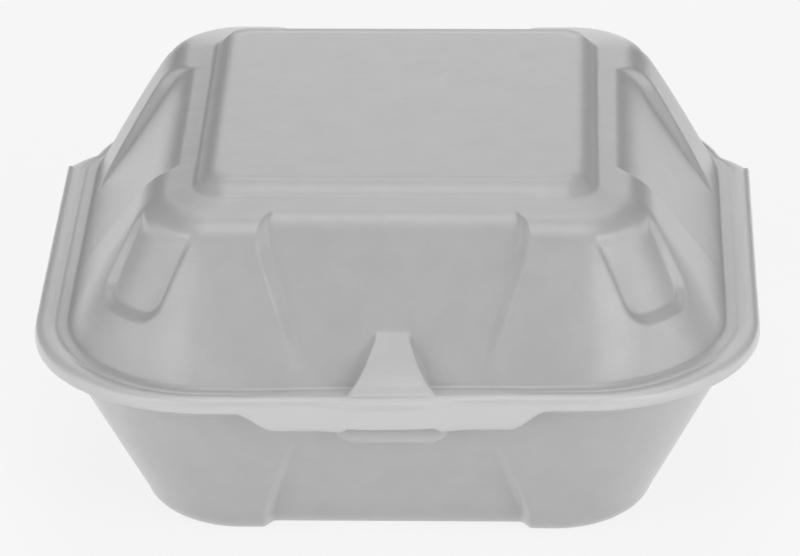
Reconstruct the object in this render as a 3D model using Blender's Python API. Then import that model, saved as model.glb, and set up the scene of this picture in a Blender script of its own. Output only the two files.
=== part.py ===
"""Foam clamshell container: a square formed foam box with a lid hinged along its rear edge.

Metres, +Z up. The origin is under the centre of the base, on the surface that it stands on.
The front, with the closing tab, faces -Y, and the hinge runs along X at the rear.
Each half is a shell of one sheet thickness. It is a loft of closed outlines, called levels,
that runs over the outside of the shell, round its rim and back over the inside.
"""

import math
from collections import namedtuple

import bmesh
import bpy
from mathutils import Matrix, Vector

# Sheet, and the gap between the closed halves
SHEET = 0.0020
FIT_GAP = 0.0003

# Rim of the lid, from the foot of its wall outwards: land, groove, land, rolled edge and skirt
RIM_HALF_WIDTH = 0.0665
RIM_CORNER_RADIUS = 0.0330
REAR_CORNER_EXTRA = 0.0050
LIP_WIDTH = 0.0065
FOOT_FILLET = 0.0012
GROOVE_WIDTH = 0.0010
GROOVE_DEPTH = 0.0002
ROLL_RADIUS = 0.0012
SKIRT_DROP = 0.0005
SKIRT_TAPER = 0.0002

# Rear edge, where the sheet bends, and the cut that trims the lips round the rear corners
HINGE_SETBACK = 0.0020
CUT_BASE_LIP = 0.0003
CUT_START_DEG = 5.5
CUT_END_DEG = 14.0
HINGE_START_DEG = 68.0

# Lid: height over the rim, raised plateau, ledge round it, shoulder and corner posts
LID_RISE = 0.0274
PLATEAU_HALF_WIDTH = 0.0341
PLATEAU_CORNER_RADIUS = 0.0045
PLATEAU_MIDDLE = 0.0190
PLATEAU_STEP = 0.0023
PLATEAU_STEP_RUN = 0.0024
LEDGE_SLOPE = 0.15
LEDGE_SHARE = 0.64
SHOULDER_DROP = 0.0041
SHOULDER_HALF_WIDTH = 0.0469
SHOULDER_CORNER_RADIUS = 0.0132
SHOULDER_REAR_EXTRA = 0.0010
LID_POST_PROUD = 0.0024
LID_POST_BULGE = 0.0004

# Panels between the posts, which narrow towards the rim on both halves
PANEL_HALF_WIDTH = 0.0225
PANEL_RIM_HALF_WIDTH = 0.0145
POST_STEP_RUN = 0.0025
POST_INSIDE_SHARE = 0.6

# Recess in each corner of the lid, which keeps stacked lids apart
DENT_HALF_WIDTH = 0.0076
DENT_TOP_DROP = 0.0009
DENT_TOP_DEPTH = 0.0015
DENT_DEPTH = 0.0035
DENT_HEIGHT_OVER_RIM = 0.0084
DENT_LEDGE = 0.0008
DENT_WALL_DEG = 8.0
DENT_MARGIN_DEG = 4.5
DENT_CORNER_SHARE = 0.45
DENT_CORNER_EASE = 0.3
DENT_MIDDLE_SHARE = 0.75

# Ramp on the front of the lid, and the closing tab that hangs from the rim below it
RAMP_HEIGHT = 0.0072
RAMP_TOP_HALF_WIDTH = 0.0031
RAMP_HALF_WIDTH = 0.0072
RAMP_FLANK = 0.0021
RAMP_TOP_FLANK = 0.0005
TAB_HALF_WIDTH = 0.0210
TAB_FLARE = 0.0070
TAB_DROP = 0.0037
TAB_BULGE = 0.0015

# Base: depth, lip under the lid's rim, feet, and the tongue that hangs behind the tab
BASE_DEPTH = 0.0396
BASE_LIP_WIDTH = 0.0024
FOOT_HALF_WIDTH = 0.0472
FOOT_CORNER_RADIUS = 0.0165
FOOT_ROUND = 0.0075
FOOT_TURN_DEG = 75.0
PANEL_ROUND = 0.0070
FOOT_REAR_EXTRA = 0.0030
BASE_POST_PROUD = 0.0026
TONGUE_HALF_WIDTH = 0.0105
TONGUE_CORNER = 0.0024
TONGUE_DROP = 0.0060
TONGUE_SHEET = 0.0014
TONGUE_TAPER = 0.0002

# Fineness of the loft, and the colour of the foam skin
CORNER_LEAD = 4
DENT_STEPS = 6
ROUND_STEPS = 3
TAB_STEPS = 3
TONGUE_STEPS = 3
SHARP_ANGLE_DEG = 25.0
FOAM_COLOUR = (0.50, 0.50, 0.50, 1.0)
FOAM_ROUGHNESS = 0.45

# Places worked out from the sizes above
LID_LIP_FOOT = RIM_HALF_WIDTH - LIP_WIDTH
CORNER_CENTRE = RIM_HALF_WIDTH - RIM_CORNER_RADIUS
LID_UNDERSIDE = BASE_DEPTH - SHEET
BASE_TOP = LID_UNDERSIDE - FIT_GAP
BASE_LIP_Z = BASE_TOP - SHEET
BASE_LIP_FOOT = RIM_HALF_WIDTH - SHEET - FIT_GAP - BASE_LIP_WIDTH
HINGE_EDGE = RIM_HALF_WIDTH - HINGE_SETBACK
CUT_EDGE = BASE_LIP_FOOT + CUT_BASE_LIP
LEDGE_Z = BASE_DEPTH + LID_RISE - PLATEAU_STEP
LEDGE_FOOT = PLATEAU_HALF_WIDTH + PLATEAU_STEP_RUN
SHOULDER_Z = LEDGE_Z - SHOULDER_DROP
FOOT_TOP = FOOT_ROUND * (1.0 - math.cos(math.radians(FOOT_TURN_DEG)))
HINGE_Y = HINGE_EDGE + FIT_GAP / 2
HINGE_Z = LID_UNDERSIDE - FIT_GAP / 2

# Reach of the lid's panel where the ramp leaves it, and the fall of the ramp from there
RAMP_SHARE = RAMP_HEIGHT / (SHOULDER_Z - BASE_DEPTH)
RAMP_TOP_REACH = LID_LIP_FOOT + (SHOULDER_HALF_WIDTH - LID_POST_PROUD - LID_LIP_FOOT) * RAMP_SHARE
RAMP_SLOPE = RAMP_HEIGHT / (RIM_HALF_WIDTH - RAMP_TOP_REACH)

# The lip of a half: how far its foot is from the centre, and its full width
Lip = namedtuple("Lip", "foot width")
LID_LIP = Lip(LID_LIP_FOOT, LIP_WIDTH)
BASE_LIP = Lip(BASE_LIP_FOOT, BASE_LIP_WIDTH)

# One outline. reach is the distance of its posts from the centre and z its height. corner is
# the radius of its front corners and rear what the rear corners add. panel is half the width
# of its panels, proud how far the posts stand out from them and lift how far the panels lie
# above the posts. dent is the depth of the corner recess and dent_edge its share at the
# sides. out is the distance outwards from the foot of the lip named by half. skirt and drop
# lower the rim and the tab or tongue, bulge moves the tab's middle forwards, and inner marks
# the inside of the sheet.
Level = namedtuple(
    "Level",
    "reach z corner panel proud lift rear dent dent_edge half out skirt drop bulge inner",
    defaults=(0.0, 0.0, REAR_CORNER_EXTRA, 0.0, 1.0, LID_LIP, 0.0, 0.0, 0.0, 0.0, False),
)


def mix(start, end, share):
    """Value that lies the given share of the way from start to end."""
    return start + (end - start) * share


def mix_levels(start, end, share):
    """Level that lies the given share of the way to another, with the first one's lip."""
    sizes = zip(start, end)
    return Level(*[mix(a, b, share) if isinstance(a, float) else a for a, b in sizes])


def clear_scene():
    """Remove every object of the open scene."""
    for item in list(bpy.data.objects):
        bpy.data.objects.remove(item, do_unlink=True)


def foam_material(name):
    """Satin foam skin."""
    material = bpy.data.materials.new(name)
    material.use_nodes = True
    shader = material.node_tree.nodes["Principled BSDF"]
    shader.inputs["Base Color"].default_value = FOAM_COLOUR
    shader.inputs["Roughness"].default_value = FOAM_ROUGHNESS
    shader.inputs["Metallic"].default_value = 0.0
    material.diffuse_color = FOAM_COLOUR
    return material


def corner_angles(radius):
    """Angles of a corner's columns; the recess keeps its width whatever the radius."""
    half_angle = math.degrees(math.asin(min(1.0, DENT_HALF_WIDTH / radius)))
    start = max(DENT_MARGIN_DEG, 45.0 - half_angle)
    inside = start + DENT_WALL_DEG
    step = start / (CORNER_LEAD - 1)
    lead = [0.0, min(CUT_START_DEG, step), min(CUT_END_DEG, step * 2), start]
    middle = [mix(inside, 90.0 - inside, i / DENT_STEPS) for i in range(DENT_STEPS + 1)]
    return lead + middle + [90.0 - angle for angle in reversed(lead)]


def dent_share(index, edge_share):
    """Share of the recess's depth at a corner column; edge_share rounds its lower corners."""
    place = min(index - CORNER_LEAD, CORNER_LEAD + DENT_STEPS - index)
    if place < 0:
        return 0.0
    return (edge_share, mix(1.0, edge_share, DENT_CORNER_EASE), 1.0)[min(place, 2)]


def lip_share(angle, lip):
    """Share of the full lip left by the rear cut, by the angle from the side wall."""
    cut = (CUT_EDGE - lip.foot) / lip.width
    hinge = (HINGE_EDGE - lip.foot) / lip.width
    if angle < CUT_END_DEG:
        return mix(1.0, cut, max(0.0, (angle - CUT_START_DEG) / (CUT_END_DEG - CUT_START_DEG)))
    return mix(cut, hinge, max(0.0, (angle - HINGE_START_DEG) / (90.0 - HINGE_START_DEG)))


def skirt_fall(level, share):
    """How far a column hangs: the skirt fades out with the lip and is gone along the hinge."""
    if level.skirt == 0.0:
        return 0.0
    hinge = lip_share(90.0, level.half)
    return level.skirt * max(0.0, (share - hinge) / (1.0 - hinge))


def both_sides(half):
    """Columns of one half of a side and their mirror images, from left to right."""
    return [(-u, v, z) for u, v, z in reversed(half)] + half


def corner_radius(level, rear):
    """Radius of a corner, limited by the straight stretch that the posts or the tab need."""
    straight = level.panel + POST_STEP_RUN * 2
    if level.out > 0.0 and level.half is LID_LIP and not rear:
        straight = TAB_HALF_WIDTH + TAB_FLARE + POST_STEP_RUN
    return min(level.corner + (level.rear if rear else 0.0), level.reach - straight)


def lid_front(level):
    """Columns of the lid's front: ramp face and foot, panel and post edges, ends of the tab."""
    reach = level.reach - level.proud + level.out
    share = (reach - RAMP_TOP_REACH) / (RIM_HALF_WIDTH - RAMP_TOP_REACH)
    share = min(1.0, max(0.0, share))
    face = mix(RAMP_TOP_HALF_WIDTH, RAMP_HALF_WIDTH, share)
    foot = face + mix(RAMP_TOP_FLANK, RAMP_FLANK, share)
    ramp_z = BASE_DEPTH + RAMP_SLOPE * (RIM_HALF_WIDTH - reach)
    if level.inner:
        face = face - SHEET / 2
        ramp_z = ramp_z - SHEET * math.hypot(1.0, RAMP_SLOPE)
    low = level.z - level.skirt
    tab_low = low - level.drop
    rolled = level.out > LIP_WIDTH - ROLL_RADIUS / 2 or level.skirt > 0.0
    face_z = tab_low if rolled else max(level.z, ramp_z)
    columns = [(face, reach + level.bulge, face_z + level.lift), (foot, reach, tab_low + level.lift)]
    if level.out > 0.0:
        for i in range(1, TAB_STEPS + 1):
            columns.append((mix(foot, TAB_HALF_WIDTH, i / TAB_STEPS), reach, tab_low))
        columns.append((TAB_HALF_WIDTH + TAB_FLARE, reach, low))
    else:
        post = level.panel + POST_STEP_RUN
        straight = level.reach - corner_radius(level, False)
        columns += [(level.panel, reach, low + level.lift), (post, level.reach, low)]
        for i in range(1, TAB_STEPS):
            columns.append((mix(post, straight, i / TAB_STEPS), level.reach, low))
    return both_sides(columns)


def base_front(level):
    """Columns of the base's front: panel and post edges, or the tongue under its lip."""
    columns = []
    if level.out > 0.0:
        middle = TONGUE_HALF_WIDTH - TONGUE_CORNER
        for i in range(TONGUE_STEPS + 1):
            turn = math.radians(90.0 * i / TONGUE_STEPS)
            low = level.z - level.drop * math.cos(turn)
            columns.append((middle + TONGUE_CORNER * math.sin(turn), level.reach + level.out, low))
    else:
        for i in range(1, TONGUE_STEPS + 1):
            columns.append((level.panel * i / TONGUE_STEPS, level.reach - level.proud, level.z))
        columns.append((level.panel + POST_STEP_RUN, level.reach, level.z))
    return both_sides(columns)


def plain_side(level, angle):
    """Columns of a side wall or, at a right angle to it, of the rear."""
    share = 1.0 if angle == 0.0 else lip_share(angle, level.half)
    reach = level.reach + level.out * share
    low = level.z - skirt_fall(level, share)
    panel = (level.panel, reach - level.proud, low + level.lift)
    return both_sides([panel, (level.panel + POST_STEP_RUN, reach, low)])


def corner_columns(level, side):
    """Columns of the corner that follows a side."""
    rear = side in (1, 2)
    radius = corner_radius(level, rear)
    centre = level.reach - radius
    columns = []
    for index, angle in enumerate(corner_angles(radius)):
        share = lip_share(angle if side == 1 else 90.0 - angle, level.half) if rear else 1.0
        length = radius + level.out * share - level.dent * dent_share(index, level.dent_edge)
        low = level.z - skirt_fall(level, share)
        turn = math.radians(angle)
        columns.append((centre + length * math.sin(turn), centre + length * math.cos(turn), low))
    return columns


def outline(level, front):
    """Closed outline of a level, anticlockwise from above, starting with the front."""
    sides = (front(level), plain_side(level, 0.0), plain_side(level, 90.0), plain_side(level, 0.0))
    points = []
    for side, columns in enumerate(sides):
        turn = Matrix.Rotation(side * math.pi / 2, 3, "Z")
        for along, reach, z in columns + corner_columns(level, side):
            points.append(turn @ Vector((along, -reach, z)))
    return points


def inner_skin(levels, inward):
    """Levels of the inside: each outer one moved square to the profile by the sheet."""
    skin = []
    for i, level in enumerate(levels):
        before = Vector((levels[i - 1].reach, levels[i - 1].z)) if i else None
        here = Vector((level.reach, level.z))
        run_in = (here - before).normalized() if i else Vector((1.0, 0.0))
        run_out = run_in
        if i < len(levels) - 1:
            run_out = (Vector((levels[i + 1].reach, levels[i + 1].z)) - here).normalized()
        along = (run_in + run_out).normalized()
        move = Vector((-along.y, along.x)) * inward * SHEET / along.dot(run_in)
        skin.append(level._replace(
            reach=level.reach + move.x,
            z=level.z + move.y,
            corner=level.corner + move.x,
            panel=level.panel + SHEET * POST_INSIDE_SHARE,
            inner=True,
        ))
    return skin


def mouth_back(run, height):
    """How far the mouth of a half lies inside the foot of its lip, behind a wall that slopes."""
    return SHEET * math.tan(math.atan2(height, run) / 2)


def lid_wall(z):
    """Level on the wall of the lid: posts, panels and the recesses in its corners."""
    share = (SHOULDER_Z - z) / (SHOULDER_Z - BASE_DEPTH)
    bulge = LID_POST_BULGE * 4.0 * share * (1.0 - share)
    top = SHOULDER_Z - DENT_TOP_DROP
    low = BASE_DEPTH + DENT_HEIGHT_OVER_RIM
    inside = low <= z <= top
    return Level(
        reach=mix(SHOULDER_HALF_WIDTH, LID_LIP_FOOT, share) + bulge,
        z=z,
        corner=mix(SHOULDER_CORNER_RADIUS, LID_LIP_FOOT - CORNER_CENTRE, share) + bulge,
        panel=mix(PANEL_HALF_WIDTH, PANEL_RIM_HALF_WIDTH, share),
        proud=mix(LID_POST_PROUD, 0.0, share) + bulge,
        rear=mix(SHOULDER_REAR_EXTRA, REAR_CORNER_EXTRA, share),
        dent=mix(DENT_TOP_DEPTH, DENT_DEPTH, (top - z) / (top - low)) if inside else 0.0,
        dent_edge=DENT_CORNER_SHARE if z == low else 1.0,
    )


def brow_point(reach):
    """Where the ledge would meet the straight wall that leaves the shoulder at a reach."""
    wall_slope = (SHOULDER_Z - BASE_DEPTH) / (LID_LIP_FOOT - reach)
    rise = SHOULDER_DROP - wall_slope * (reach - LEDGE_FOOT)
    run = rise / (LEDGE_SLOPE - wall_slope)
    return LEDGE_FOOT + run, LEDGE_Z - LEDGE_SLOPE * run


def lid_outside():
    """Levels of the lid's outside, from the plateau down to the foot of the wall."""
    plateau = Level(
        reach=PLATEAU_HALF_WIDTH,
        z=BASE_DEPTH + LID_RISE,
        corner=PLATEAU_CORNER_RADIUS,
        panel=PLATEAU_MIDDLE,
        rear=0.0,
    )
    ledge = plateau._replace(
        reach=LEDGE_FOOT,
        z=LEDGE_Z,
        corner=plateau.corner + PLATEAU_STEP_RUN,
    )
    shoulder = lid_wall(SHOULDER_Z)
    reach, z = brow_point(SHOULDER_HALF_WIDTH)
    panel_reach, panel_z = brow_point(SHOULDER_HALF_WIDTH - LID_POST_PROUD)
    brow = shoulder._replace(
        reach=reach,
        z=z,
        corner=shoulder.corner - (shoulder.reach - reach),
        proud=reach - panel_reach,
        lift=panel_z - z,
    )
    start = mix_levels(ledge, brow, LEDGE_SHARE)
    levels = [plateau, ledge]
    for i in range(ROUND_STEPS):
        share = i / ROUND_STEPS
        levels.append(mix_levels(mix_levels(start, brow, share), mix_levels(brow, shoulder, share), share))
    dent_top = SHOULDER_Z - DENT_TOP_DROP
    dent_low = BASE_DEPTH + DENT_HEIGHT_OVER_RIM
    ramp_top = BASE_DEPTH + RAMP_HEIGHT
    heights = {SHOULDER_Z, dent_top, mix(dent_top, dent_low, DENT_MIDDLE_SHARE), dent_low}
    heights |= {dent_low - DENT_LEDGE, ramp_top, (ramp_top + BASE_DEPTH) / 2, BASE_DEPTH + FOOT_FILLET}
    return levels + [lid_wall(z) for z in sorted(heights, reverse=True)]


def lid_levels():
    """Levels of the lid: outside, rim, skirt, underside of the lip and inside."""
    outside = lid_outside()
    land = Level(LID_LIP_FOOT, BASE_DEPTH, LID_LIP_FOOT - CORNER_CENTRE, PANEL_RIM_HALF_WIDTH)
    groove = LIP_WIDTH / 2
    roll = LIP_WIDTH - ROLL_RADIUS
    edge = land._replace(out=LIP_WIDTH, bulge=TAB_BULGE)
    skirt = edge._replace(z=LID_UNDERSIDE, skirt=SKIRT_DROP, drop=TAB_DROP)
    under = land._replace(z=LID_UNDERSIDE, bulge=TAB_BULGE, inner=True)
    back = mouth_back(LID_LIP_FOOT - SHOULDER_HALF_WIDTH, SHOULDER_Z - BASE_DEPTH)
    half_turn = math.radians(45.0)
    rim = [
        land._replace(out=FOOT_FILLET / 2),
        land._replace(out=groove - GROOVE_WIDTH / 2),
        land._replace(out=groove, z=BASE_DEPTH - GROOVE_DEPTH),
        land._replace(out=groove + GROOVE_WIDTH / 2),
        land._replace(out=roll),
        edge._replace(
            out=roll + ROLL_RADIUS * math.sin(half_turn),
            z=BASE_DEPTH - ROLL_RADIUS * (1.0 - math.cos(half_turn)),
        ),
        edge._replace(z=BASE_DEPTH - ROLL_RADIUS),
        skirt,
        skirt._replace(out=LIP_WIDTH - SHEET + SKIRT_TAPER, inner=True),
        under._replace(out=LIP_WIDTH - SHEET),
        under._replace(reach=land.reach - back, corner=land.corner - back, bulge=0.0),
    ]
    return outside + rim + list(reversed(inner_skin(outside, -1.0)))


def base_wall(z):
    """Level on the wall of the base: feet, posts and panels."""
    share = (z - FOOT_TOP) / (BASE_LIP_Z - FOOT_TOP)
    return Level(
        reach=mix(FOOT_HALF_WIDTH, BASE_LIP_FOOT, share),
        z=z,
        corner=mix(FOOT_CORNER_RADIUS, BASE_LIP_FOOT - CORNER_CENTRE, share),
        panel=mix(PANEL_HALF_WIDTH, PANEL_RIM_HALF_WIDTH, share),
        proud=mix(BASE_POST_PROUD, 0.0, share),
        rear=mix(FOOT_REAR_EXTRA, REAR_CORNER_EXTRA, share),
    )


def base_levels():
    """Levels of the base: underside, foot, wall, lip with its tongue, and inside."""
    foot = base_wall(FOOT_TOP)
    end = math.radians(FOOT_TURN_DEG)
    outside = []
    for i in range(ROUND_STEPS + 1):
        turn = end * i / ROUND_STEPS
        back = FOOT_ROUND * (math.sin(end) - math.sin(turn))
        panel_back = PANEL_ROUND * (1.0 - math.sin(turn) / math.sin(end))
        outside.append(foot._replace(
            reach=foot.reach - back,
            z=FOOT_ROUND * (1.0 - math.cos(turn)),
            corner=foot.corner - back / 2,
            proud=foot.proud - back + panel_back,
        ))
    wall_top = BASE_LIP_Z - FOOT_FILLET
    outside += [base_wall((FOOT_TOP + wall_top) / 2), base_wall(wall_top)]
    corner = BASE_LIP_FOOT - CORNER_CENTRE
    top = Level(BASE_LIP_FOOT, BASE_TOP, corner, PANEL_RIM_HALF_WIDTH, half=BASE_LIP)
    under = top._replace(z=BASE_LIP_Z)
    tongue = under._replace(drop=TONGUE_DROP)
    root = BASE_LIP_WIDTH - TONGUE_SHEET - TONGUE_TAPER
    fillet = min(FOOT_FILLET, root) / 2
    back = mouth_back(BASE_LIP_FOOT - FOOT_HALF_WIDTH, BASE_LIP_Z - FOOT_TOP)
    rim = [
        under._replace(out=fillet),
        under._replace(out=root),
        tongue._replace(out=BASE_LIP_WIDTH - TONGUE_SHEET),
        tongue._replace(out=BASE_LIP_WIDTH),
        top._replace(out=BASE_LIP_WIDTH),
        top._replace(out=fillet),
        top._replace(reach=top.reach - back, corner=top.corner - back),
    ]
    return outside + rim + list(reversed(inner_skin(outside, 1.0)))


def loft(name, levels, front):
    """Solid skin through the outlines of the levels, closed by a flat fan at each end."""
    work = bmesh.new()
    rings = [[work.verts.new(point) for point in outline(level, front)] for level in levels]
    for ring, following in zip(rings, rings[1:]):
        for i, vertex in enumerate(ring):
            work.faces.new((ring[i - 1], following[i - 1], following[i], vertex))
    for ring in (rings[0], rings[-1]):
        centre = work.verts.new((0.0, 0.0, ring[0].co.z))
        for i, vertex in enumerate(ring):
            work.faces.new((ring[i - 1], vertex, centre))
    bmesh.ops.recalc_face_normals(work, faces=work.faces)
    mesh = bpy.data.meshes.new(name)
    work.to_mesh(mesh)
    work.free()
    mesh.materials.append(foam_material(name + "_foam"))
    mesh.shade_smooth()
    mesh.set_sharp_from_angle(angle=math.radians(SHARP_ANGLE_DEG))
    shell = bpy.data.objects.new(name, mesh)
    bpy.context.collection.objects.link(shell)
    return shell


def main():
    """Base on its feet, and the lid closed under an empty on the hinge line."""
    clear_scene()
    loft("base", base_levels(), base_front)
    lid = loft("lid", lid_levels(), lid_front)
    hinge = bpy.data.objects.new("hinge_line", None)
    hinge.location = (0.0, HINGE_Y, HINGE_Z)
    bpy.context.collection.objects.link(hinge)
    lid.parent = hinge
    lid.matrix_parent_inverse = Matrix.Translation(hinge.location).inverted()


main()
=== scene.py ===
"""Foam clamshell box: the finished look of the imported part, as a closed box on a pale floor."""

import math

import bmesh
import bpy
from mathutils import Matrix, Vector


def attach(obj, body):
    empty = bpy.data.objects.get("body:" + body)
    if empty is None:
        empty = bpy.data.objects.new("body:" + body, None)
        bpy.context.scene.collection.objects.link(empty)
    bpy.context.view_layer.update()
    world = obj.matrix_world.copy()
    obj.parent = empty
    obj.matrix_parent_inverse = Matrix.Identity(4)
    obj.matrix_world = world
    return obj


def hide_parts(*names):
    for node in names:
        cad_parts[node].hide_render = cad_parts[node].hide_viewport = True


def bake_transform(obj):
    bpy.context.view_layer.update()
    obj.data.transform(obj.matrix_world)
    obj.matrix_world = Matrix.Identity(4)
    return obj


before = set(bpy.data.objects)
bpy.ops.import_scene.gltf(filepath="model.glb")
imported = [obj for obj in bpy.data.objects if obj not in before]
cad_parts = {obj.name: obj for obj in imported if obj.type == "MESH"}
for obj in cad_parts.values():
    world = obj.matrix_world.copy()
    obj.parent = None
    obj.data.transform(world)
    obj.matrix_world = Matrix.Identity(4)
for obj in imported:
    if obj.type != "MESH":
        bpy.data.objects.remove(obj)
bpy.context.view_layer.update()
collection = bpy.context.scene.collection

# The camera looks down on the front of the box from far away with a long lens, slightly from the
# right, which is where the photograph was taken from.
LENS_PX = 5137.0
IMAGE_PX = 800
SENSOR_MM = 36.0
CAMERA_ELEVATION = math.radians(25.96)
CAMERA_YAW = math.radians(-2.11)
CAMERA_ROLL = math.radians(-0.70)
CAMERA_TARGET = Vector((-0.00056, 0.0, 0.03093))
CAMERA_DISTANCE = 0.9739

camera_data = bpy.data.cameras.new("camera")
camera_data.sensor_width = SENSOR_MM
camera_data.lens = LENS_PX * SENSOR_MM / IMAGE_PX
camera_data.clip_start = 0.01
camera = bpy.data.objects.new("camera", camera_data)
collection.objects.link(camera)
forward = Vector((
    math.sin(CAMERA_YAW) * math.cos(CAMERA_ELEVATION),
    math.cos(CAMERA_YAW) * math.cos(CAMERA_ELEVATION),
    -math.sin(CAMERA_ELEVATION),
))
turn = forward.to_track_quat("-Z", "Y").to_matrix() @ Matrix.Rotation(CAMERA_ROLL, 3, "Z")
camera.matrix_world = Matrix.Translation(CAMERA_TARGET - forward * CAMERA_DISTANCE) @ turn.to_4x4()
bpy.context.scene.camera = camera

# Lid: the upper half of one sheet of polystyrene foam, pressed hot between the two halves of a
# mould, so every edge on it is soft. Its wall rises from a wide rim to a shoulder, with a post in
# each corner, a panel between the posts and a raised plateau on top.
SHEET = 0.0020
FIT_GAP = 0.0003
RIM_Z = 0.0396
RIM_HALF_WIDTH = 0.0665
RIM_CORNER_RADIUS = 0.0330
REAR_CORNER_EXTRA = 0.0050
LIP_WIDTH = 0.0065
ROLL = 0.0021
SKIRT_DROP = 0.0007
GROOVE_DEPTH = 0.00016
HINGE_SETBACK = 0.0021
CUT_LEFT = 0.0003
CUT_START = math.radians(5.0)
CUT_END = math.radians(15.0)
HINGE_START = math.radians(68.0)
POST_STEP = 0.0025
PANEL_HALF_WIDTH = 0.0225
PANEL_RIM_HALF_WIDTH = 0.0145
LID_FOOT = RIM_HALF_WIDTH - LIP_WIDTH
CORNER_CENTRE = RIM_HALF_WIDTH - RIM_CORNER_RADIUS


def mix(start, end, share):
    """Value that lies the given share of the way from start to end."""
    return start + (end - start) * share


def ease(share):
    """Soft step from 0 to 1."""
    share = min(1.0, max(0.0, share))
    return share * share * (3.0 - 2.0 * share)


class Ring:
    """One outline of a shell, as a set of named sizes that can be mixed with another's."""

    NAMES = ("reach", "z", "corner", "panel", "proud", "lift", "rear", "out", "spread",
             "skirt", "drop", "bulge", "inner", "source", "recess", "shrink")

    def __init__(self, **sizes):
        for name in self.NAMES:
            setattr(self, name, sizes.get(name, 0.0))
        self.round = sizes.get("round", 0.0)

    def changed(self, **sizes):
        """A copy with some sizes changed."""
        copy = Ring(**{name: getattr(self, name) for name in self.NAMES})
        copy.round = self.round
        for name, size in sizes.items():
            setattr(copy, name, size)
        return copy

    def mixed(self, other, share):
        """The ring that lies the given share of the way to another."""
        sizes = {name: mix(getattr(self, name), getattr(other, name), share) for name in self.NAMES}
        return Ring(**sizes)

    def place(self):
        """The ring's corner of the profile, outwards and upwards."""
        return Vector((self.reach + self.out, self.z - self.skirt))


def bend(start, middle, end, steps):
    """Rings of a soft curve from one ring to another, pulled towards the middle one."""
    rings = []
    for i in range(steps + 1):
        share = i / steps
        rings.append(start.mixed(middle, share).mixed(middle.mixed(end, share), share))
    return rings


ROUND_SHARE = 0.48
SMALLEST_ROUND = 0.00005


def rounded(rings, steps=4):
    """Profile whose corners are replaced by soft curves, each as wide as its ring says."""
    result = [rings[0]]
    for before, here, after in zip(rings, rings[1:], rings[2:]):
        length_in = (here.place() - before.place()).length
        length_out = (after.place() - here.place()).length
        width = min(here.round, length_in * ROUND_SHARE, length_out * ROUND_SHARE)
        if width < SMALLEST_ROUND:
            result.append(here)
            continue
        result += bend(here.mixed(before, width / length_in), here,
                       here.mixed(after, width / length_out), steps)
    return result + [rings[-1]]


INNER_PANEL_SHIFT = 0.6


def offset(rings, inward):
    """Profile of the other face of the sheet, one thickness away from the given one."""
    result = []
    for i, ring in enumerate(rings):
        here = Vector((ring.reach, ring.z))
        run_in = run_out = Vector((1.0, 0.0))
        if i > 0:
            run_in = (here - Vector((rings[i - 1].reach, rings[i - 1].z))).normalized()
            run_out = run_in
        if i < len(rings) - 1:
            run_out = (Vector((rings[i + 1].reach, rings[i + 1].z)) - here).normalized()
        along = (run_in + run_out).normalized()
        move = Vector((-along.y, along.x)) * inward * SHEET / along.dot(run_in)
        result.append(ring.changed(
            reach=ring.reach + move.x,
            z=ring.z + move.y,
            corner=ring.corner + move.x,
            panel=ring.panel + SHEET * INNER_PANEL_SHIFT,
            inner=1.0,
        ))
    return result


BASE_LIP_WIDTH = 0.0024


def lip_share(angle, foot, width):
    """Share of the full lip that the rear cut leaves, by the angle from the side wall."""
    cut = (RIM_HALF_WIDTH - SHEET - FIT_GAP - BASE_LIP_WIDTH + CUT_LEFT - foot) / width
    hinge = (RIM_HALF_WIDTH - HINGE_SETBACK - foot) / width
    if angle < CUT_END:
        return mix(1.0, cut, ease((angle - CUT_START) / (CUT_END - CUT_START)))
    return mix(cut, hinge, ease((angle - HINGE_START) / (math.pi / 2 - HINGE_START)))


# Places of the columns over a corner, as millimetres from its diagonal, close together where the
# recess has its walls
MILLIMETRE = 0.001
CORNER_SPREAD = math.radians(40.0)
CORNER_PLACES = [0.0, 1.1, 2.2, 3.2, 4.0, 4.6, 5.1, 5.6, 6.0, 6.4, 6.8, 7.2, 7.6, 8.1, 8.8]
CORNER_ENDS = 6


def corner_angles(radius):
    """Angles of the columns of one corner."""
    scale = min(1.0, radius * math.sin(CORNER_SPREAD) / (CORNER_PLACES[-1] * MILLIMETRE))
    half = [math.asin(place * MILLIMETRE * scale / radius) for place in CORNER_PLACES]
    first = math.pi / 4 - half[-1]
    lead = [first * i / CORNER_ENDS for i in range(CORNER_ENDS)]
    middle = [math.pi / 4 - angle for angle in reversed(half)]
    front = lead + middle
    return front + [math.pi / 2 - angle for angle in reversed(front[:-1])]


RECESS_HALF_WIDTH = 0.0076
RECESS_TOP_DEPTH = 0.0010
RECESS_DEPTH = 0.0018
RECESS_BOTTOM_Z = RIM_Z + 0.0074
RECESS_TOP_Z = RIM_Z + 0.0230
RECESS_TOP_FADE = 0.0036
RECESS_CORNER = 0.0042
RECESS_WALL = 0.0010
RECESS_FOOT = 0.0015
RECESS_LEAN = 1.19


def recess_depth(off_diagonal, z):
    """Depth of the recess in a corner, a slot with a round lower end and a soft edge."""
    side = RECESS_HALF_WIDTH - abs(off_diagonal)
    up = (z - RECESS_BOTTOM_Z) * RECESS_LEAN
    inside = min(side / RECESS_WALL, up / RECESS_FOOT)
    if side < RECESS_CORNER and up < RECESS_CORNER:
        away = RECESS_CORNER - math.hypot(RECESS_CORNER - side, RECESS_CORNER - up)
        turn = math.atan2(RECESS_CORNER - up, RECESS_CORNER - side) / (math.pi / 2)
        inside = away / mix(RECESS_WALL, RECESS_FOOT, turn)
    share = (z - RECESS_BOTTOM_Z) / (RECESS_TOP_Z - RECESS_BOTTOM_Z)
    top = ease((RECESS_TOP_Z - z) / RECESS_TOP_FADE)
    return mix(RECESS_DEPTH, RECESS_TOP_DEPTH, share) * ease(inside) * top


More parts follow.
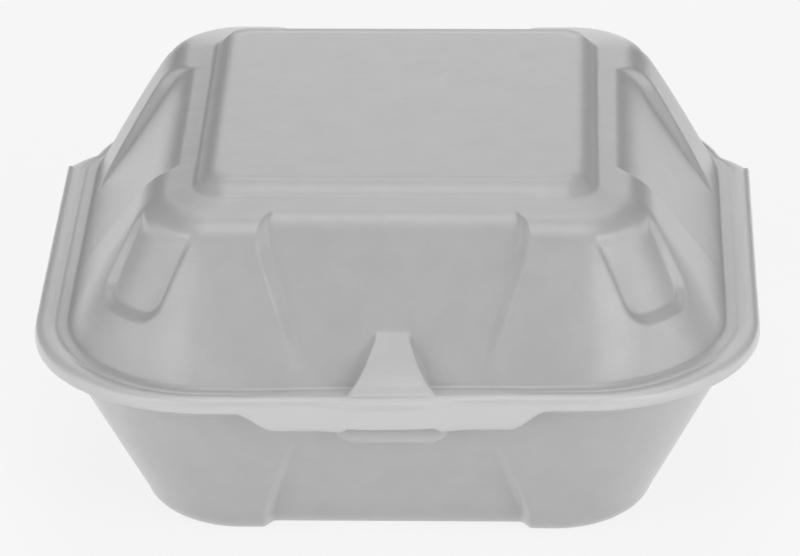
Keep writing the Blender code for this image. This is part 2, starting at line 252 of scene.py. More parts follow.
RAMP_TOP_Z = RIM_Z + 0.0072
RAMP_TOP_REACH = 0.0547
RAMP_TOP_HALF_WIDTH = 0.0026
RAMP_HALF_WIDTH = 0.0074
RAMP_TOP_FLANK = 0.0012
RAMP_FLANK = 0.0022
RAMP_EDGE = 0.0004
RAMP_EDGE_COLUMNS = (0.0008, 0.0003)
RAMP_FOOT_COLUMN = 0.0006
RAMP_END_BULGE = 0.0004
RAMP_SLOPE = (RAMP_TOP_Z - RIM_Z) / (RIM_HALF_WIDTH - RAMP_TOP_REACH)
TAB_HALF_WIDTH = 0.0210
TAB_FLARE = 0.0070
TAB_DROP = 0.0037
TAB_BULGE = 0.0015
TAB_BULGE_START = 0.0035
TAB_BULGE_FADE = 0.0110
GROOVE_FADE_START = 0.0220
GROOVE_FADE = 0.0100
STEP_PLACES = [-0.45, -0.2, 0.0, 0.12, 0.26, 0.4, 0.5, 0.6, 0.74, 0.88, 1.0, 1.2, 1.45]
FLAT_COLUMNS = 4


def evenly(start, end, count):
    """Places between two others, without them."""
    return [mix(start, end, (i + 1) / (count + 1)) for i in range(count)]


def side_half(ring, first):
    """Places of the columns on half a side, from its middle or the ramp's foot outwards."""
    straight = ring.reach - ring.corner
    step = [ring.panel + POST_STEP * place for place in STEP_PLACES]
    wall = evenly(first, step[0], FLAT_COLUMNS) + step + evenly(step[-1], straight - ring.rear, 3)
    flare = [TAB_HALF_WIDTH + TAB_FLARE * place for place in STEP_PLACES]
    lip = evenly(first, flare[0], FLAT_COLUMNS) + flare
    lip += evenly(flare[-1], straight, 3)
    return [mix(a, b, ring.spread) for a, b in zip(wall, lip)]


def lid_front(ring):
    """Columns of half of the lid's front, with the ramp on it and the tab below it."""
    reach = ring.reach - ring.proud + ring.out
    share = min(1.0, max(0.0, (reach - RAMP_TOP_REACH) / (RIM_HALF_WIDTH - RAMP_TOP_REACH)))
    face = mix(RAMP_TOP_HALF_WIDTH, RAMP_HALF_WIDTH, share) - ring.inner * SHEET / 2
    flank = mix(RAMP_TOP_FLANK, RAMP_FLANK, share)
    ramp_z = min(RAMP_TOP_Z, RIM_Z + RAMP_SLOPE * (RIM_HALF_WIDTH - reach))
    ramp_z -= ring.inner * SHEET * math.hypot(1.0, RAMP_SLOPE)
    near = [0.0, face * 0.5] + [face - gap for gap in RAMP_EDGE_COLUMNS]
    near += [face + flank * i / 4 for i in range(5)] + [face + flank + RAMP_FOOT_COLUMN]
    columns = []
    for place in near + side_half(ring, near[-1]):
        on_tab = 1.0 - ease((place - TAB_HALF_WIDTH) / TAB_FLARE)
        base_z = ring.z - ring.skirt - ring.drop * on_tab
        if 0.0 < ring.out < LIP_WIDTH - ROLL:
            base_z = mix(RIM_Z, base_z, ease((place - GROOVE_FADE_START) / GROOVE_FADE))
        on_ramp = 1.0 - ease((place - face) / flank)
        lift = ramp_z - base_z
        if lift < RAMP_EDGE:
            lift = max(0.0, lift + RAMP_EDGE) ** 2 / (4.0 * RAMP_EDGE)
        lift *= on_ramp * (1.0 - ease(ring.bulge / RAMP_END_BULGE) * (1.0 - ring.inner))
        bulge = ring.bulge * (1.0 - ease((place - TAB_BULGE_START) / TAB_BULGE_FADE))
        columns.append(post_point(ring, place, base_z + lift, bulge, 1.0))
    return columns


def post_point(ring, place, z, extra, share):
    """Point of a straight side: the panel, the post that stands proud of it or the lip."""
    step = 1.0 - ease((place - ring.panel) / POST_STEP)
    reach = ring.reach - ring.proud * step + ring.out * share + extra
    depth = recess_depth((place - reach) / math.sqrt(2.0), ring.source) * ring.recess
    return (place, reach - depth, z + ring.lift * step)


def lid_side(ring, share):
    """Columns of half of another side of the lid."""
    z = ring.z - (ring.skirt if share == 1.0 else 0.0)
    return [post_point(ring, place, z, 0.0, share) for place in [0.0] + side_half(ring, 0.0)]


def mirrored(half):
    """Columns of a whole side from those of its right half, whose first is in the middle."""
    return [(-x, y, z) for x, y, z in reversed(half[1:])] + half


def corner_points(ring, rear, from_side, foot, width):
    """Columns of the corner after a side."""
    radius = ring.corner + (ring.rear if rear else 0.0)
    centre = ring.reach - radius
    points = []
    hinge = lip_share(math.pi / 2, foot, width)
    for angle in corner_angles(radius)[1:-1]:
        share = 1.0
        if rear:
            share = lip_share(angle if from_side else math.pi / 2 - angle, foot, width)
        length = radius + ring.out * share
        length -= recess_depth(radius * math.sin(angle - math.pi / 4), ring.source) * ring.recess
        fall = ring.skirt * max(0.0, (share - hinge) / (1.0 - hinge))
        along, reach = centre + length * math.sin(angle), centre + length * math.cos(angle)
        points.append((along, reach, ring.z - fall))
    return points


def outline(ring, front, foot, width):
    """Closed outline of a ring, anticlockwise from above, starting with the front."""
    hinge = lip_share(math.pi / 2, foot, width)
    halves = (front(ring), lid_side(ring, 1.0), lid_side(ring, hinge), lid_side(ring, 1.0))
    points = []
    for side, half in enumerate(halves):
        rotation = Matrix.Rotation(side * math.pi / 2, 3, "Z")
        columns = mirrored(half) + corner_points(ring, side in (1, 2), side == 1, foot, width)
        size = 1.0 - ring.shrink
        for along, reach, z in columns:
            points.append(rotation @ Vector((along * size, -reach * size, z)))
    return [settled(point) for point in points]


SAG = 0.0009
SAG_RIGHT_END = 0.0300
SAG_WIDTH = 0.0600
SAG_REAR_END = -0.0150
SAG_LENGTH = 0.0400
SAG_Z = 0.0370
SAG_HEIGHT = 0.0100
FLARE = 0.0022
FLARE_HEIGHT = 0.0120
FLARE_HALF_WIDTH = 0.0580
FLARE_SIDE_FADE = 0.0300
FLARE_REAR_END = -0.0300
FLARE_REAR_FADE = 0.0200
FLARE_EDGE = 0.0010
REAR_PULL = 0.0016
REAR_DIP = 0.0008
TOP_START_Z = 0.0440
TOP_HEIGHT = 0.0180
DIP_START = 0.0355
DIP_LENGTH = 0.0040
DIP_HALF_WIDTH = 0.0260
DIP_SIDE_FADE = 0.0060


def settled(point):
    """A point after the sheet has cooled and warped: it is not quite as square as its mould.

    The left front corner of the rim sags, the front wall flares at its foot, the top is drawn
    towards the rear and its rear panel sinks a little between the posts.
    """
    x, y, z = point
    sag = SAG * ease((SAG_RIGHT_END - x) / SAG_WIDTH) * ease((SAG_REAR_END - y) / SAG_LENGTH)
    sag *= ease(1.0 - abs(z - SAG_Z) / SAG_HEIGHT)
    low = 1.0 - min(1.0, max(0.0, (z - RIM_Z) / FLARE_HEIGHT))
    flare = FLARE * low * low * ease((FLARE_HALF_WIDTH - abs(x)) / FLARE_SIDE_FADE)
    flare *= ease((FLARE_REAR_END - y) / FLARE_REAR_FADE)
    flare *= min(1.0, max(0.0, (RIM_HALF_WIDTH - FLARE_EDGE + y) / (LIP_WIDTH - FLARE_EDGE)))
    flare *= 1.0 if z > RIM_Z - SHEET - FIT_GAP / 2 else 0.0
    high = ease((z - TOP_START_Z) / TOP_HEIGHT)
    pull = REAR_PULL * high * ease(y / PLATEAU_HALF_WIDTH)
    dip = REAR_DIP * high * ease((y - DIP_START) / DIP_LENGTH)
    dip *= ease((DIP_HALF_WIDTH - abs(x)) / DIP_SIDE_FADE)
    return Vector((x, y - flare + pull, z - sag - dip))


RAGGED_WIDTH = 0.0003
PEBBLE_START_Z = 0.0002
PEBBLE_RISE = 0.0020


def shell(name, rings, front, foot, width):
    """Closed skin through the outlines of the rings, with a fan over each end.

    The mesh says where its edge is ragged, where it is pebbled and where the rim is painted paler as
    a painted highlight.
    """
    work = bmesh.new()
    ragged = work.verts.layers.float.new("ragged")
    pebbled = work.verts.layers.float.new("pebbled")
    painted_rim_light = work.verts.layers.float.new("painted_rim_light")
    loops = []
    for ring in rings:
        loop = [work.verts.new(point) for point in outline(ring, front, foot, width)]
        for vertex in loop:
            vertex[ragged] = 1.0 if ring.out > width - RAGGED_WIDTH else 0.0
            # Painted highlight: the rim is painted paler the further out it lies, for the light its
            # rolled edge catches.
            vertex[painted_rim_light] = ease(ring.out / LIP_WIDTH)
            risen = ease((vertex.co.z - PEBBLE_START_Z) / PEBBLE_RISE)
            vertex[pebbled] = risen * (1.0 - vertex[ragged])
        loops.append(loop)
    for loop, following in zip(loops, loops[1:]):
        for i, vertex in enumerate(loop):
            work.faces.new((loop[i - 1], following[i - 1], following[i], vertex))
    for loop in (loops[0], loops[-1]):
        centre = work.verts.new((0.0, 0.0, sum(v.co.z for v in loop) / len(loop)))
        for i, vertex in enumerate(loop):
            work.faces.new((loop[i - 1], vertex, centre))
    bmesh.ops.recalc_face_normals(work, faces=work.faces)
    mesh = bpy.data.meshes.new(name)
    work.to_mesh(mesh)
    work.free()
    mesh.shade_smooth()
    piece = bpy.data.objects.new(name, mesh)
    collection.objects.link(piece)
    return piece


LID_RISE = 0.0274
PLATEAU_HALF_WIDTH = 0.0341
PLATEAU_CORNER = 0.0040
PLATEAU_STEP = 0.0023
PLATEAU_STEP_RUN = 0.0024
LEDGE_SLOPE = 0.15
LEDGE_SHARE = 0.56
SHOULDER_Z = 0.0606
SHOULDER_HALF_WIDTH = 0.0469
SHOULDER_CORNER = 0.0132
SHOULDER_REAR = 0.0010
SHOULDER_DROP = 0.0010
POST_PROUD = 0.0024
POST_BULGE = 0.0004
ABOVE_RECESS_Z = 0.0700
PLATEAU_ROWS = (0.02, 0.1, 0.3, 0.5, 0.7, 0.84, 0.93)
BROW_ROWS = 12
ROLL_ROWS = 7
ROW = 0.0008
FINE_ROW = 0.0003
FINE_ROWS_TOP = RIM_Z + 0.0132
FOOT_ROWS_TOP = RIM_Z + 0.0066
INSIDE_FOOT_ROWS = (0.0056, 0.0036, 0.0016)
INSIDE_FOOT = LID_FOOT - 0.0011
GROOVE_START = 0.0012
GROOVE_STEP = 0.0008
GROOVE_ROUND = 0.0004
SKIRT_THICKNESS = 0.0018


def lid_wall(z):
    """Ring on the wall of the lid."""
    share = (SHOULDER_Z - z) / (SHOULDER_Z - RIM_Z)
    bulge = POST_BULGE * 4.0 * share * (1.0 - share)
    return Ring(
        reach=mix(SHOULDER_HALF_WIDTH, LID_FOOT, share) + bulge,
        z=z,
        corner=mix(SHOULDER_CORNER, LID_FOOT - CORNER_CENTRE, share) + bulge,
        panel=mix(PANEL_HALF_WIDTH, PANEL_RIM_HALF_WIDTH, share),
        proud=mix(POST_PROUD, 0.0, share) + bulge,
        rear=mix(SHOULDER_REAR, REAR_CORNER_EXTRA, share),
        source=z,
        recess=1.0,
    )


ledge_z = RIM_Z + LID_RISE - PLATEAU_STEP
plateau = Ring(reach=PLATEAU_HALF_WIDTH, z=RIM_Z + LID_RISE, corner=PLATEAU_CORNER, panel=0.0190,
               round=0.0009, source=ABOVE_RECESS_Z)
ledge = plateau.changed(
    reach=PLATEAU_HALF_WIDTH + PLATEAU_STEP_RUN,
    z=ledge_z,
    corner=PLATEAU_CORNER + PLATEAU_STEP_RUN,
    round=0.0008,
)


def brow_point(reach):
    """Where the ledge would meet the straight wall that leaves the shoulder at a reach."""
    slope = (SHOULDER_Z - RIM_Z) / (LID_FOOT - reach)
    run = (ledge.z - SHOULDER_Z - slope * (reach - ledge.reach)) / (LEDGE_SLOPE - slope)
    return ledge.reach + run, ledge.z - LEDGE_SLOPE * run


shoulder = lid_wall(SHOULDER_Z)
brow_reach, brow_z = brow_point(SHOULDER_HALF_WIDTH)
panel_reach, panel_z = brow_point(SHOULDER_HALF_WIDTH - POST_PROUD)
brow = shoulder.changed(
    reach=brow_reach,
    z=brow_z,
    corner=SHOULDER_CORNER - SHOULDER_HALF_WIDTH + brow_reach,
    proud=brow_reach - panel_reach,
    lift=panel_z - brow_z,
    source=brow_z,
)
ledge_end = ledge.mixed(brow, LEDGE_SHARE)
heights = [SHOULDER_Z - ROW * i for i in range(2, 10)]
heights += [FINE_ROWS_TOP - FINE_ROW * i for i in range(21)]
heights += [FOOT_ROWS_TOP - ROW * i for i in range(8)]
lid_outside = [plateau, ledge]
lid_outside += bend(ledge_end, brow, lid_wall(SHOULDER_Z - SHOULDER_DROP), BROW_ROWS)
lid_outside += [lid_wall(z) for z in heights]
lid_outside.append(lid_wall(RIM_Z).changed(round=0.0006))
lid_top = [plateau.changed(shrink=1.0 - share, round=0.0) for share in PLATEAU_ROWS]
land = Ring(reach=LID_FOOT, z=RIM_Z, corner=LID_FOOT - CORNER_CENTRE, panel=PANEL_RIM_HALF_WIDTH,
            rear=REAR_CORNER_EXTRA)
edge = land.changed(out=LIP_WIDTH, spread=1.0, bulge=TAB_BULGE)
skirt = edge.changed(z=RIM_Z - SHEET, skirt=SKIRT_DROP, drop=TAB_DROP)
lip_rings = [
    land.changed(out=GROOVE_START, spread=0.2),
    land.changed(out=GROOVE_START + GROOVE_STEP, spread=0.4, round=GROOVE_ROUND),
    land.changed(out=GROOVE_START + GROOVE_STEP * 2, z=RIM_Z - GROOVE_DEPTH, spread=0.45,
                 round=GROOVE_ROUND),
    land.changed(out=GROOVE_START + GROOVE_STEP * 3, spread=0.55, round=GROOVE_ROUND),
] + bend(
    land.changed(out=LIP_WIDTH - ROLL, spread=0.7),
    edge,
    edge.changed(z=RIM_Z - ROLL * 0.8, skirt=0.0001),
    ROLL_ROWS,
) + [
    skirt.changed(round=0.0005),
    skirt.changed(out=LIP_WIDTH - SKIRT_THICKNESS, inner=1.0, round=0.0004),
    edge.changed(out=LIP_WIDTH - SHEET, z=RIM_Z - SHEET, inner=1.0, round=0.0003),
    land.changed(reach=INSIDE_FOOT, corner=INSIDE_FOOT - CORNER_CENTRE, z=RIM_Z - SHEET, inner=1.0,
                 spread=0.1, round=0.0009),
]
coarse = [plateau, ledge] + bend(ledge_end, brow, shoulder, 3)
coarse += [lid_wall(SHOULDER_Z - ROW * i) for i in range(2, 9, 2)]
coarse += [lid_wall(FINE_ROWS_TOP - FINE_ROW * i) for i in range(0, 21, 2)]
coarse += [lid_wall(RIM_Z + height) for height in INSIDE_FOOT_ROWS]
inside = list(reversed(offset(coarse, -1.0)))
inside += [ring.changed(z=ring.z - SHEET, inner=1.0) for ring in reversed(lid_top)]
lid_rings = rounded(lid_top + lid_outside + lip_rings + inside)
lid_shell = shell("lid_shell", lid_rings, lid_front, LID_FOOT, LIP_WIDTH)

# The sheet's own closed skin is satin and pale grey, pebbled by the cells just under it and drawn
# into faint creases where the hot sheet was pulled over the mould. The rim is painted paler, as a
# painted highlight for the light that its rolled edge catches.
FOAM_COLOUR = (0.46, 0.46, 0.46, 1.0)
FOAM_SHADE = (0.43, 0.43, 0.432, 1.0)
# Paler grey of the painted highlight on the rim.
PAINTED_RIM_LIGHT_COLOUR = (0.60, 0.60, 0.60, 1.0)
FOAM_ROUGHNESS = 0.34
FOAM_SPECULAR = 1.0
FOAM_GLAZE = 1.0
FOAM_GLAZE_ROUGHNESS = 0.36
GLOSS_SPREAD = 0.05
CELLS_PER_METRE = 1500.0
MOTTLE_PER_METRE = 170.0
CREASES_PER_METRE = 420.0
CELL_HEIGHT = 0.000026
CREASE_HEIGHT = 0.00005
CREASE_STRETCH = (0.28, 1.0, 1.0)
SHADE_BELOW = 0.30
COLOUR_ABOVE = 0.62


def foam_skin():
    """Material of the formed sheet."""
    material = bpy.data.materials.new("foam_skin")
    material.use_nodes = True
    nodes, links = material.node_tree.nodes, material.node_tree.links
    shader = nodes["Principled BSDF"]
    shader.inputs["Specular IOR Level"].default_value = FOAM_SPECULAR
    shader.inputs["Coat Weight"].default_value = FOAM_GLAZE
    shader.inputs["Coat Roughness"].default_value = FOAM_GLAZE_ROUGHNESS
    place = nodes.new("ShaderNodeTexCoord")

    mottle = nodes.new("ShaderNodeTexNoise")
    mottle.inputs["Scale"].default_value = MOTTLE_PER_METRE
    mottle.inputs["Detail"].default_value = 5.0
    mottle.inputs["Roughness"].default_value = 0.62
    links.new(place.outputs["Object"], mottle.inputs["Vector"])

    cells = nodes.new("ShaderNodeTexVoronoi")
    cells.feature = "F1"
    cells.inputs["Scale"].default_value = CELLS_PER_METRE
    links.new(place.outputs["Object"], cells.inputs["Vector"])

    stretch = nodes.new("ShaderNodeMapping")
    stretch.inputs["Scale"].default_value = CREASE_STRETCH
    links.new(place.outputs["Object"], stretch.inputs["Vector"])
    creases = nodes.new("ShaderNodeTexNoise")
    creases.inputs["Scale"].default_value = CREASES_PER_METRE
    creases.inputs["Detail"].default_value = 4.0
    links.new(stretch.outputs["Vector"], creases.inputs["Vector"])

    colour = nodes.new("ShaderNodeValToRGB")
    colour.color_ramp.elements[0].position = SHADE_BELOW
    colour.color_ramp.elements[0].color = FOAM_SHADE
    colour.color_ramp.elements[1].position = COLOUR_ABOVE
    colour.color_ramp.elements[1].color = FOAM_COLOUR
    links.new(mottle.outputs["Fac"], colour.inputs["Fac"])

    # Painted highlight: the rim's colour is mixed towards the paler grey, as far as the mesh says.
    painted_rim_light = nodes.new("ShaderNodeAttribute")
    painted_rim_light.attribute_name = "painted_rim_light"
    painted_rim_mix = nodes.new("ShaderNodeMix")
    painted_rim_mix.data_type = "RGBA"
    painted_rim_mix.inputs["B"].default_value = PAINTED_RIM_LIGHT_COLOUR
    links.new(painted_rim_light.outputs["Fac"], painted_rim_mix.inputs["Factor"])
    links.new(colour.outputs["Color"], painted_rim_mix.inputs["A"])
    links.new(painted_rim_mix.outputs["Result"], shader.inputs["Base Color"])

    gloss = nodes.new("ShaderNodeMapRange")
    gloss.inputs["To Min"].default_value = FOAM_ROUGHNESS - GLOSS_SPREAD
    gloss.inputs["To Max"].default_value = FOAM_ROUGHNESS + GLOSS_SPREAD
    links.new(creases.outputs["Fac"], gloss.inputs["Value"])
    links.new(gloss.outputs["Result"], shader.inputs["Roughness"])

    cell_bump = nodes.new("ShaderNodeBump")
    cell_bump.inputs["Distance"].default_value = CELL_HEIGHT
    cell_bump.invert = True
    links.new(cells.outputs["Distance"], cell_bump.inputs["Height"])
    crease_bump = nodes.new("ShaderNodeBump")
    crease_bump.inputs["Distance"].default_value = CREASE_HEIGHT
    links.new(creases.outputs["Fac"], crease_bump.inputs["Height"])
    links.new(cell_bump.outputs["Normal"], crease_bump.inputs["Normal"])
    links.new(crease_bump.outputs["Normal"], shader.inputs["Normal"])
    return material


skin = foam_skin()

PEBBLE_HEIGHT = 0.00003
PEBBLES_PER_METRE = 330.0
RAGGED_DEPTH = 0.00025
RAGS_PER_METRE = 700.0
SKIN_SEED = 4.0


def relief_nodes():
    """Node tree that presses the pebble of the cells and the rough trimmed edge into a shell."""
    tree = bpy.data.node_groups.new("foam_relief", "GeometryNodeTree")
    sockets = tree.interface
    sockets.new_socket("Geometry", in_out="INPUT", socket_type="NodeSocketGeometry")
    for name in ("Pebble Height", "Pebble Scale", "Ragged Depth", "Ragged Scale", "Seed"):
        sockets.new_socket(name, in_out="INPUT", socket_type="NodeSocketFloat")
    sockets.new_socket("Skin", in_out="INPUT", socket_type="NodeSocketMaterial")
    sockets.new_socket("Geometry", in_out="OUTPUT", socket_type="NodeSocketGeometry")
    nodes, links = tree.nodes, tree.links
    given = nodes.new("NodeGroupInput")
    place = nodes.new("GeometryNodeInputPosition")

    def part(kind, operation, *inputs):
        """Maths node on earlier sockets or plain numbers, and its first output."""
        node = nodes.new(kind)
        node.operation = operation
        for socket, value in zip(node.inputs, inputs):
            if isinstance(value, bpy.types.NodeSocket):
                links.new(value, socket)
            else:
                socket.default_value = value
        return node.outputs[0]

    def uneven(scale, weight, depth):
        """Depth of a noise of a scale, where a named attribute of the mesh allows it."""
        noise = nodes.new("ShaderNodeTexNoise")
        noise.noise_dimensions = "4D"
        noise.inputs["Detail"].default_value = 2.0
        links.new(place.outputs["Position"], noise.inputs["Vector"])
        links.new(given.outputs["Seed"], noise.inputs["W"])
        links.new(given.outputs[scale], noise.inputs["Scale"])
        named = nodes.new("GeometryNodeInputNamedAttribute")
        named.data_type = "FLOAT"
        named.inputs["Name"].default_value = weight
        allowed = part("ShaderNodeMath", "MULTIPLY", noise.outputs["Fac"],
                       named.outputs["Attribute"])
        return part("ShaderNodeMath", "MULTIPLY", allowed, given.outputs[depth])

    normal = nodes.new("GeometryNodeInputNormal")
    level = part("ShaderNodeVectorMath", "MULTIPLY", place.outputs["Position"], (-1.0, -1.0, 0.0))
    inward = part("ShaderNodeVectorMath", "NORMALIZE", level)
    away = part("ShaderNodeVectorMath", "MULTIPLY", normal.outputs["Normal"], (-1.0, -1.0, -1.0))
    pebbles = nodes.new("ShaderNodeVectorMath")
    pebbles.operation = "SCALE"
    links.new(away, pebbles.inputs["Vector"])
    links.new(uneven("Pebble Scale", "pebbled", "Pebble Height"), pebbles.inputs["Scale"])
    rags = nodes.new("ShaderNodeVectorMath")
    rags.operation = "SCALE"
    links.new(inward, rags.inputs["Vector"])
    links.new(uneven("Ragged Scale", "ragged", "Ragged Depth"), rags.inputs["Scale"])
    move = nodes.new("GeometryNodeSetPosition")
    links.new(given.outputs["Geometry"], move.inputs["Geometry"])
    links.new(part("ShaderNodeVectorMath", "ADD", pebbles.outputs["Vector"], rags.outputs["Vector"]),
              move.inputs["Offset"])
    realize = nodes.new("GeometryNodeRealizeInstances")
    links.new(move.outputs["Geometry"], realize.inputs["Geometry"])
    paint = nodes.new("GeometryNodeSetMaterial")
    links.new(realize.outputs["Geometry"], paint.inputs["Geometry"])
    links.new(given.outputs["Skin"], paint.inputs["Material"])
    result = nodes.new("NodeGroupOutput")
    links.new(paint.outputs["Geometry"], result.inputs["Geometry"])
    return tree


relief = relief_nodes()


def pressed(piece):
    """Gives a shell its foam relief and skin as a plain mesh."""
    modifier = piece.modifiers.new("relief", "NODES")
    modifier.node_group = relief
    sizes = {"Pebble Height": PEBBLE_HEIGHT, "Pebble Scale": PEBBLES_PER_METRE,
             "Ragged Depth": RAGGED_DEPTH, "Ragged Scale": RAGS_PER_METRE,
             "Seed": SKIN_SEED, "Skin": skin}
    for socket in relief.interface.items_tree:
        if socket.in_out == "INPUT" and socket.name in sizes:
            modifier[socket.identifier] = sizes[socket.name]
    shape = piece.evaluated_get(bpy.context.evaluated_depsgraph_get())
    mesh = bpy.data.meshes.new_from_object(shape)
    piece.modifiers.remove(modifier)
    piece.data = mesh
    mesh.name = piece.name


pressed(lid_shell)
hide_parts("lid")
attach(lid_shell, "lid")

# Base: the lower half of the same foam sheet, pressed into a tray on four rounded feet. Its narrow
# lip lies under the lid's rim, and a tongue hangs from it behind the lid's tab to hold the box shut.
BASE_TOP = RIM_Z - SHEET - FIT_GAP
BASE_LIP_Z = BASE_TOP - SHEET
BASE_FOOT = RIM_HALF_WIDTH - SHEET - FIT_GAP - BASE_LIP_WIDTH
FOOT_HALF_WIDTH = 0.0472
FOOT_CORNER = 0.0165
FOOT_ROUND = 0.0075
FOOT_TURN = math.radians(75.0)
FOOT_TOP = FOOT_ROUND * (1.0 - math.cos(FOOT_TURN))
FOOT_REAR = 0.0030
PANEL_ROUND = 0.0070
BASE_POST_PROUD = 0.0026
TONGUE_HALF_WIDTH = 0.0105
TONGUE_CORNER = 0.0024
TONGUE_DROP = 0.0060
TONGUE_THICKNESS = 0.0014
TONGUE_ROOT = 0.0016
TONGUE_PINCH = 0.72
FOOT_STEPS = 9
FLOOR_ROWS = (0.02, 0.1, 0.3, 0.5, 0.7, 0.85, 0.95)
BASE_ROWS = 10
BASE_INSIDE_FOOT = BASE_FOOT - 0.0012


def base_wall(z):
    """Ring on the wall of the base."""
    share = (z - FOOT_TOP) / (BASE_LIP_Z - FOOT_TOP)
    return Ring(
        reach=mix(FOOT_HALF_WIDTH, BASE_FOOT, share),
        z=z,
        corner=mix(FOOT_CORNER, BASE_FOOT - CORNER_CENTRE, share),
        panel=mix(PANEL_HALF_WIDTH, PANEL_RIM_HALF_WIDTH, share),
        proud=mix(BASE_POST_PROUD, 0.0, share),
        rear=mix(FOOT_REAR, REAR_CORNER_EXTRA, share),
    )


def base_front(ring):
    """Columns of half of the base's front, with the tongue under its lip."""
    columns = []
    for place in [0.0] + side_half(ring.changed(spread=0.0), 0.0):
        place = mix(place, place * TONGUE_PINCH, ring.spread)
        past = (place - TONGUE_HALF_WIDTH + TONGUE_CORNER) / TONGUE_CORNER
        fall = math.sqrt(max(0.0, 1.0 - max(0.0, past) ** 2))
        columns.append(post_point(ring, place, ring.z - ring.drop * fall, 0.0, 1.0))
    return columns


foot = base_wall(FOOT_TOP)
base_outside = []
for i in range(FOOT_STEPS + 1):
    turned = FOOT_TURN * i / FOOT_STEPS
    back = FOOT_ROUND * (math.sin(FOOT_TURN) - math.sin(turned))
    panel_back = PANEL_ROUND * (1.0 - math.sin(turned) / math.sin(FOOT_TURN))
    base_outside.append(foot.changed(
        reach=foot.reach - back,
        z=FOOT_ROUND * (1.0 - math.cos(turned)),
        corner=foot.corner - back / 2,
        rear=max(0.0, foot.rear - back / 2),
        proud=foot.proud - back + panel_back,
    ))
base_floor = [base_outside[0].changed(shrink=1.0 - share) for share in FLOOR_ROWS]
base_outside += [base_wall(z) for z in evenly(FOOT_TOP, BASE_LIP_Z, BASE_ROWS)]
base_top = Ring(reach=BASE_FOOT, z=BASE_TOP, corner=BASE_FOOT - CORNER_CENTRE,
                panel=PANEL_RIM_HALF_WIDTH, rear=REAR_CORNER_EXTRA)
base_under = base_top.changed(z=BASE_LIP_Z)
base_lip = [
    base_under.changed(round=0.0006),
    base_under.changed(out=BASE_LIP_WIDTH - TONGUE_ROOT, spread=1.0, round=0.0002),
    base_under.changed(out=BASE_LIP_WIDTH - TONGUE_THICKNESS, spread=1.0, drop=TONGUE_DROP,
                       round=0.0003),
    base_under.changed(out=BASE_LIP_WIDTH, spread=1.0, drop=TONGUE_DROP, round=0.0003),
    base_top.changed(out=BASE_LIP_WIDTH, spread=1.0, round=0.0005),
    base_top.changed(reach=BASE_INSIDE_FOOT, corner=BASE_INSIDE_FOOT - CORNER_CENTRE,
                     round=0.0008),
]
base_inside = list(reversed(offset(base_outside, 1.0)))
base_inside += [ring.changed(z=ring.z + SHEET, inner=1.0) for ring in reversed(base_floor)]
base_rings = rounded(base_floor + base_outside + base_lip + base_inside)
base_shell = shell("base_shell", base_rings, base_front, BASE_FOOT, BASE_LIP_WIDTH)
pressed(base_shell)
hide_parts("base")
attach(base_shell, "base")

# Hinge: the line along the rear where the foam sheet is pressed thin, so that it folds. It joins
# the rear edge of the base to that of the lid, as a fixed strip.
HINGE_HALF_LENGTH = 0.0275
HINGE_SINK = 0.0006
HINGE_THICKNESS = 0.0005
HINGE_PROUD = 0.0001
HINGE_HALF_HEIGHT = 0.0011
HINGE_Z = RIM_Z - SHEET - FIT_GAP / 2
HINGE_Y = RIM_HALF_WIDTH - HINGE_SETBACK + HINGE_PROUD
HINGE_VALLEY = 0.0001
HINGE_END = 0.0030
HINGE_ROWS = 24
HINGE_COLUMNS = 30


def hinge_line():
    """Thin strip that stands on the rear edges of both shells, with a valley along its middle."""
    work = bmesh.new()
    section = []
    for i in range(HINGE_ROWS + 1):
        up = math.sin((i / HINGE_ROWS - 0.5) * math.pi) ** 3 * HINGE_HALF_HEIGHT
        valley = HINGE_VALLEY * (1.0 - ease(abs(up) / HINGE_HALF_HEIGHT))
        section.append((HINGE_Y - valley, HINGE_Z + up))
    section += [(y - HINGE_THICKNESS, z) for y, z in reversed(section)]
    loops = []
    for i in range(HINGE_COLUMNS + 1):
        x = mix(-HINGE_HALF_LENGTH, HINGE_HALF_LENGTH, i / HINGE_COLUMNS)
        sunk = HINGE_SINK * (1.0 - ease((HINGE_HALF_LENGTH - abs(x)) / HINGE_END))
        loops.append([work.verts.new((x, y - sunk, z)) for y, z in section])
    for loop, following in zip(loops, loops[1:]):
        for i, vertex in enumerate(loop):
            work.faces.new((loop[i - 1], following[i - 1], following[i], vertex))
    for loop in (loops[0], loops[-1]):
        for i in range(HINGE_ROWS):
            work.faces.new((loop[i], loop[i + 1], loop[-i - 2], loop[-i - 1]))
    bmesh.ops.recalc_face_normals(work, faces=work.faces)
    mesh = bpy.data.meshes.new("hinge_web")
    work.to_mesh(mesh)
    work.free()
    mesh.shade_smooth()
    mesh.materials.append(skin)
    web = bpy.data.objects.new("hinge_web", mesh)
    collection.objects.link(web)
    return web


hinge_web = hinge_line()
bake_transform(hinge_web)

# Floor and light: a seamless pale sweep that keeps a soft shadow, and nine soft square lamps. The two
# strong ones, low at the front corners, leave no gleam, so that the top doesn't clip to white from
# behind. The others stand higher in front, above, beside and behind.
FLOOR_HALF_SIZE = 60.0
FLOOR_COLOUR = (0.78, 0.78, 0.78, 1.0)
FLOOR_ROUGHNESS = 0.9
SHADOW_SHARE = 0.16
SKY_COLOUR = (1.0, 1.0, 1.0, 1.0)
SKY_LIGHT = 0.12
LAMP_AIM = Vector((0.0, 0.0, 0.04))
LAMP_DISTANCE = 0.9
LAMP_SIZE = 0.5

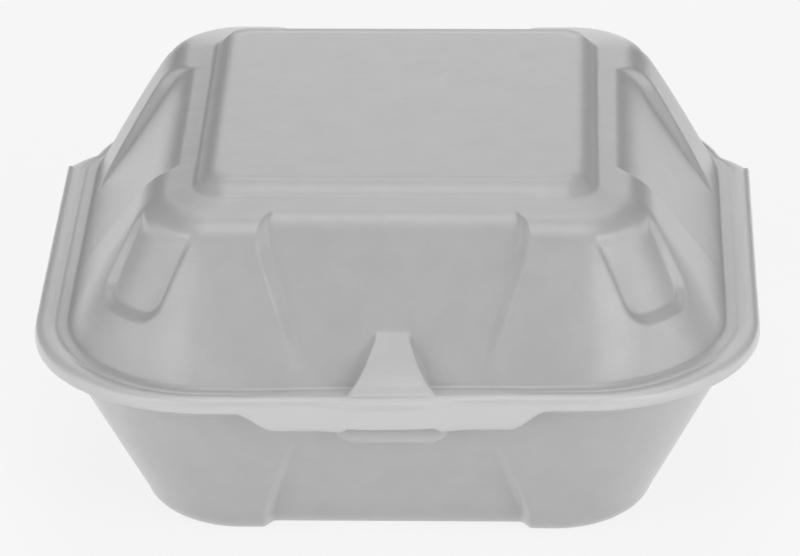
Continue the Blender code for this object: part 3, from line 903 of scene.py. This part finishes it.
floor_mesh = bpy.data.meshes.new("floor")
corners = [(-1, -1), (1, -1), (1, 1), (-1, 1)]
floor_mesh.from_pydata([(x * FLOOR_HALF_SIZE, y * FLOOR_HALF_SIZE, 0.0) for x, y in corners], [],
                       [(0, 1, 2, 3)])
floor = bpy.data.objects.new("floor", floor_mesh)
collection.objects.link(floor)
floor_paint = bpy.data.materials.new("floor_paint")
floor_paint.use_nodes = True
paint_nodes, paint_links = floor_paint.node_tree.nodes, floor_paint.node_tree.links
paper = paint_nodes["Principled BSDF"]
paper.inputs["Base Color"].default_value = FLOOR_COLOUR
paper.inputs["Roughness"].default_value = FLOOR_ROUGHNESS
white = paint_nodes.new("ShaderNodeEmission")
rays = paint_nodes.new("ShaderNodeLightPath")
seen = paint_nodes.new("ShaderNodeMath")
seen.operation = "MAXIMUM"
paint_links.new(rays.outputs["Is Camera Ray"], seen.inputs[0])
paint_links.new(rays.outputs["Is Glossy Ray"], seen.inputs[1])
seen_through = paint_nodes.new("ShaderNodeMath")
seen_through.operation = "MAXIMUM"
paint_links.new(seen.outputs["Value"], seen_through.inputs[0])
paint_links.new(rays.outputs["Is Transmission Ray"], seen_through.inputs[1])
unlit = paint_nodes.new("ShaderNodeMath")
unlit.operation = "MULTIPLY"
unlit.inputs[1].default_value = 1.0 - SHADOW_SHARE
paint_links.new(seen_through.outputs["Value"], unlit.inputs[0])
mixed_paint = paint_nodes.new("ShaderNodeMixShader")
paint_links.new(unlit.outputs["Value"], mixed_paint.inputs["Fac"])
paint_links.new(paper.outputs["BSDF"], mixed_paint.inputs[1])
paint_links.new(white.outputs["Emission"], mixed_paint.inputs[2])
paint_links.new(mixed_paint.outputs["Shader"], paint_nodes["Material Output"].inputs["Surface"])
floor_mesh.materials.append(floor_paint)

world = bpy.data.worlds.new("studio")
bpy.context.scene.world = world
world.use_nodes = True
sky = world.node_tree.nodes["Background"]
sky.inputs["Color"].default_value = SKY_COLOUR
sky.inputs["Strength"].default_value = SKY_LIGHT


def lamp(name, azimuth, elevation, energy, gleam=True):
    """Soft square lamp that faces the box, with its gleam in the foam's skin if it has one.

    Azimuth 0 is in front of the box and 90 on its right.
    """
    data = bpy.data.lights.new(name, "AREA")
    data.size = LAMP_SIZE
    data.energy = energy
    light = bpy.data.objects.new(name, data)
    collection.objects.link(light)
    azimuth, elevation = math.radians(azimuth), math.radians(elevation)
    away = Vector((math.sin(azimuth) * math.cos(elevation), -math.cos(azimuth) * math.cos(elevation),
                   math.sin(elevation)))
    light.location = LAMP_AIM + away * LAMP_DISTANCE
    light.rotation_euler = away.to_track_quat("Z", "Y").to_euler()
    light.visible_glossy = gleam


lamp("right_low_lamp", 50, 12, 2.45, gleam=False)
lamp("left_low_lamp", -50, 12, 2.45, gleam=False)
lamp("right_high_lamp", 35, 30, 1.35)
lamp("left_high_lamp", -35, 30, 1.0)
lamp("right_side_lamp", 80, 20, 0.9)
lamp("left_side_lamp", -80, 20, 0.7)
lamp("rear_lamp", 180, 15, 0.9)
lamp("top_rear_lamp", 180, 56, 1.15)
lamp("top_front_lamp", 0, 84, 1.35)

bpy.context.scene.view_settings.view_transform = "Standard"
